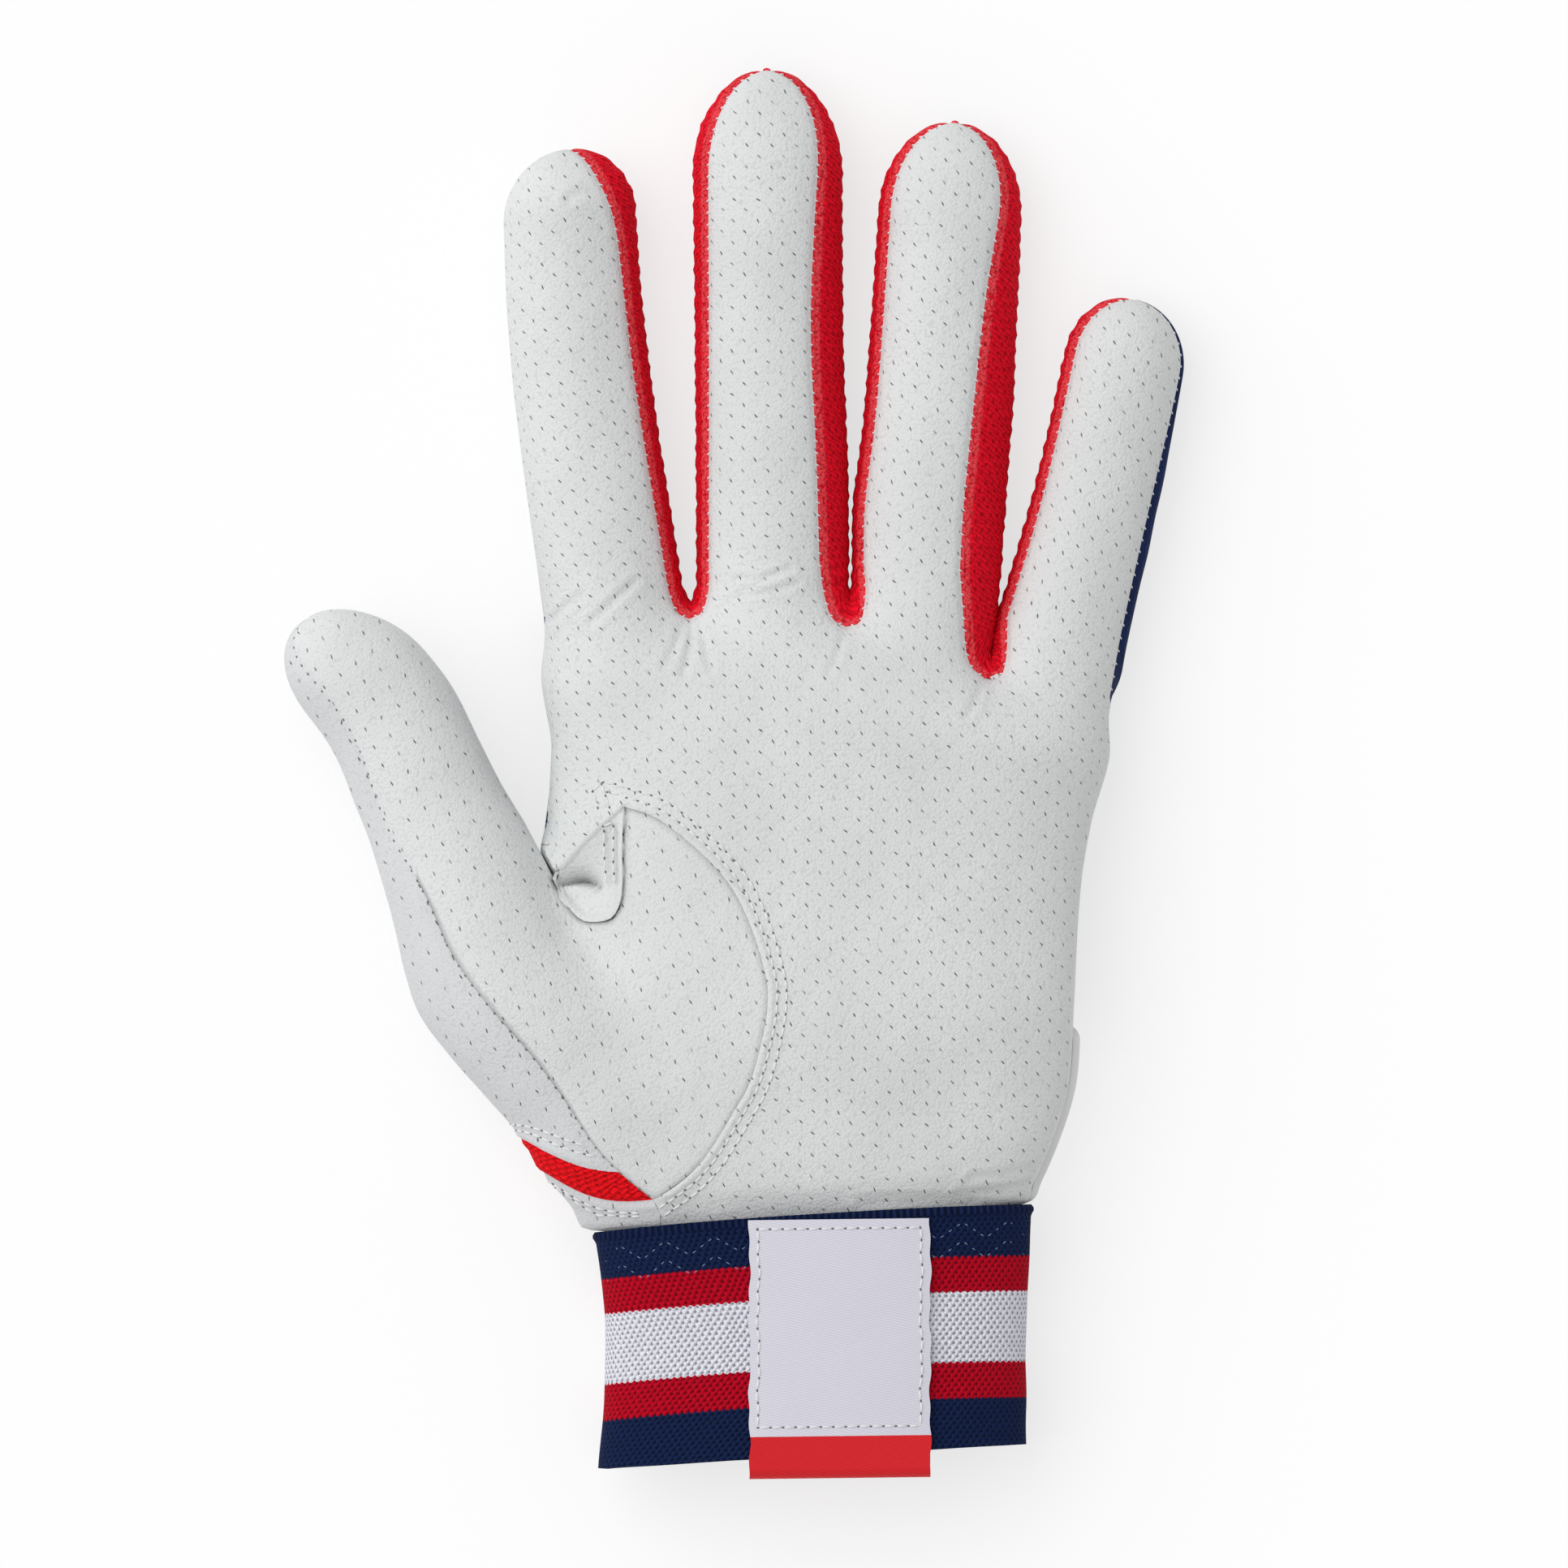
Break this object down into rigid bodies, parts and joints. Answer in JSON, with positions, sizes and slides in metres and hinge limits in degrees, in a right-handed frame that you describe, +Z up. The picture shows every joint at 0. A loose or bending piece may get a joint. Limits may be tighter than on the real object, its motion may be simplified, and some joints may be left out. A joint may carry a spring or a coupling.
{
  "type": "batting glove",
  "caption": "Left-hand batting glove with perforated leather palm, mesh finger sides, striped elastic cuff, woven cuff label and a wrist closure tab.",
  "frame": {"origin": "middle of the glove's box on the floor that its back lies on", "axes": "+Y towards the fingertips, +X towards the little-finger side, +Z up out of the palm"},
  "size_m": [0.1449, 0.2276, 0.0272],
  "materials": {
    "palm_leather": "soft goat leather with fine grain and small slit perforations",
    "plain_leather": "soft smooth goat leather without perforations",
    "red_mesh": "open warp-knit mesh, matt",
    "navy_stretch": "two-way stretch knit, matt",
    "cuff_knit": "knitted elastic with red and white stripes on navy",
    "label_weave": "fine satin twill weave",
    "label_red": "fine satin twill weave",
    "moulded_rubber": "moulded soft rubber with a satin face",
    "hook_plastic": "hook side of a touch fastener",
    "loop_pile": "loop side of a touch fastener"
  },
  "bodies": {
    "hand": {"palm_panel": "palm_leather", "thenar_panel": "palm_leather", "thumb_tongue": "plain_leather", "thumb_side_panel": "plain_leather", "wrist_vent": "red_mesh", "wrist_band": "plain_leather", "back_panel": "navy_stretch", "index_middle_web": "red_mesh", "middle_ring_web": "red_mesh", "ring_little_web": "red_mesh", "cuff_band": "cuff_knit", "label_face": "label_weave", "label_fold": "label_red", "loop_patch": "loop_pile"},
    "index_root": {"index_root_palm": "palm_leather", "index_root_back": "plain_leather", "index_root_fourchette_right": "red_mesh"},
    "index_tip": {"index_tip_palm": "palm_leather", "index_tip_back": "plain_leather", "index_tip_fourchette_right": "red_mesh"},
    "middle_root": {"middle_root_palm": "palm_leather", "middle_root_back": "navy_stretch", "middle_root_fourchette_left": "red_mesh", "middle_root_fourchette_right": "red_mesh"},
    "middle_tip": {"middle_tip_palm": "palm_leather", "middle_tip_back": "navy_stretch", "middle_tip_fourchette_left": "red_mesh", "middle_tip_fourchette_right": "red_mesh"},
    "ring_root": {"ring_root_palm": "palm_leather", "ring_root_back": "navy_stretch", "ring_root_fourchette_left": "red_mesh", "ring_root_fourchette_right": "red_mesh"},
    "ring_tip": {"ring_tip_palm": "palm_leather", "ring_tip_back": "navy_stretch", "ring_tip_fourchette_left": "red_mesh", "ring_tip_fourchette_right": "red_mesh"},
    "little_root": {"little_root_palm": "palm_leather", "little_root_back": "navy_stretch", "little_root_fourchette_left": "red_mesh"},
    "little_tip": {"little_tip_palm": "palm_leather", "little_tip_back": "navy_stretch", "little_tip_fourchette_left": "red_mesh"},
    "thumb": {"thumb_palm": "palm_leather", "thumb_back": "plain_leather"},
    "tab": {"closure_tab": "moulded_rubber", "hook_patch": "hook_plastic"}
  },
  "joints": [
    {"name": "index_knuckle", "type": "hinge", "parent": "hand", "child": "index_root", "pos_m": [-0.02023, 0.03485, 0.01866], "axis": [1, 0, 0], "range_deg": [0, 80]},
    {"name": "index_middle_joint", "type": "hinge", "parent": "index_root", "child": "index_tip", "pos_m": [-0.02292, 0.06071, 0.0174], "axis": [1, 0, 0], "range_deg": [0, 88]},
    {"name": "middle_knuckle", "type": "hinge", "parent": "hand", "child": "middle_root", "pos_m": [0.00592, 0.0343, 0.01919], "axis": [1, 0, 0], "range_deg": [0, 80]},
    {"name": "middle_middle_joint", "type": "hinge", "parent": "middle_root", "child": "middle_tip", "pos_m": [0.00566, 0.0633, 0.01814], "axis": [1, 0, 0], "range_deg": [0, 88]},
    {"name": "ring_knuckle", "type": "hinge", "parent": "hand", "child": "ring_root", "pos_m": [0.03088, 0.03327, 0.01858], "axis": [1, 0, 0], "range_deg": [0, 80]},
    {"name": "ring_middle_joint", "type": "hinge", "parent": "ring_root", "child": "ring_tip", "pos_m": [0.03278, 0.06221, 0.01751], "axis": [1, 0, 0], "range_deg": [0, 88]},
    {"name": "little_knuckle", "type": "hinge", "parent": "hand", "child": "little_root", "pos_m": [0.05271, 0.02357, 0.0172], "axis": [0.9903, -0.1392, 0], "range_deg": [0, 80]},
    {"name": "little_middle_joint", "type": "hinge", "parent": "little_root", "child": "little_tip", "pos_m": [0.05719, 0.04306, 0.01572], "axis": [0.9903, -0.1392, 0], "range_deg": [0, 88]},
    {"name": "thumb_joint", "type": "hinge", "parent": "hand", "child": "thumb", "pos_m": [-0.04349, -0.01295, 0.0246], "axis": [0.8731, 0.4876, 0], "range_deg": [0, 60]},
    {"name": "tab_seam", "type": "hinge", "parent": "hand", "child": "tab", "pos_m": [-0.004, -0.0545, 0.0032], "axis": [0, 1, 0], "range_deg": [0, 120]}
  ],
  "couplings": [
    {"joint": "index_middle_joint", "follows": "index_knuckle", "ratio": 1.1},
    {"joint": "middle_middle_joint", "follows": "middle_knuckle", "ratio": 1.1},
    {"joint": "ring_middle_joint", "follows": "ring_knuckle", "ratio": 1.1},
    {"joint": "little_middle_joint", "follows": "little_knuckle", "ratio": 1.1}
  ]
}
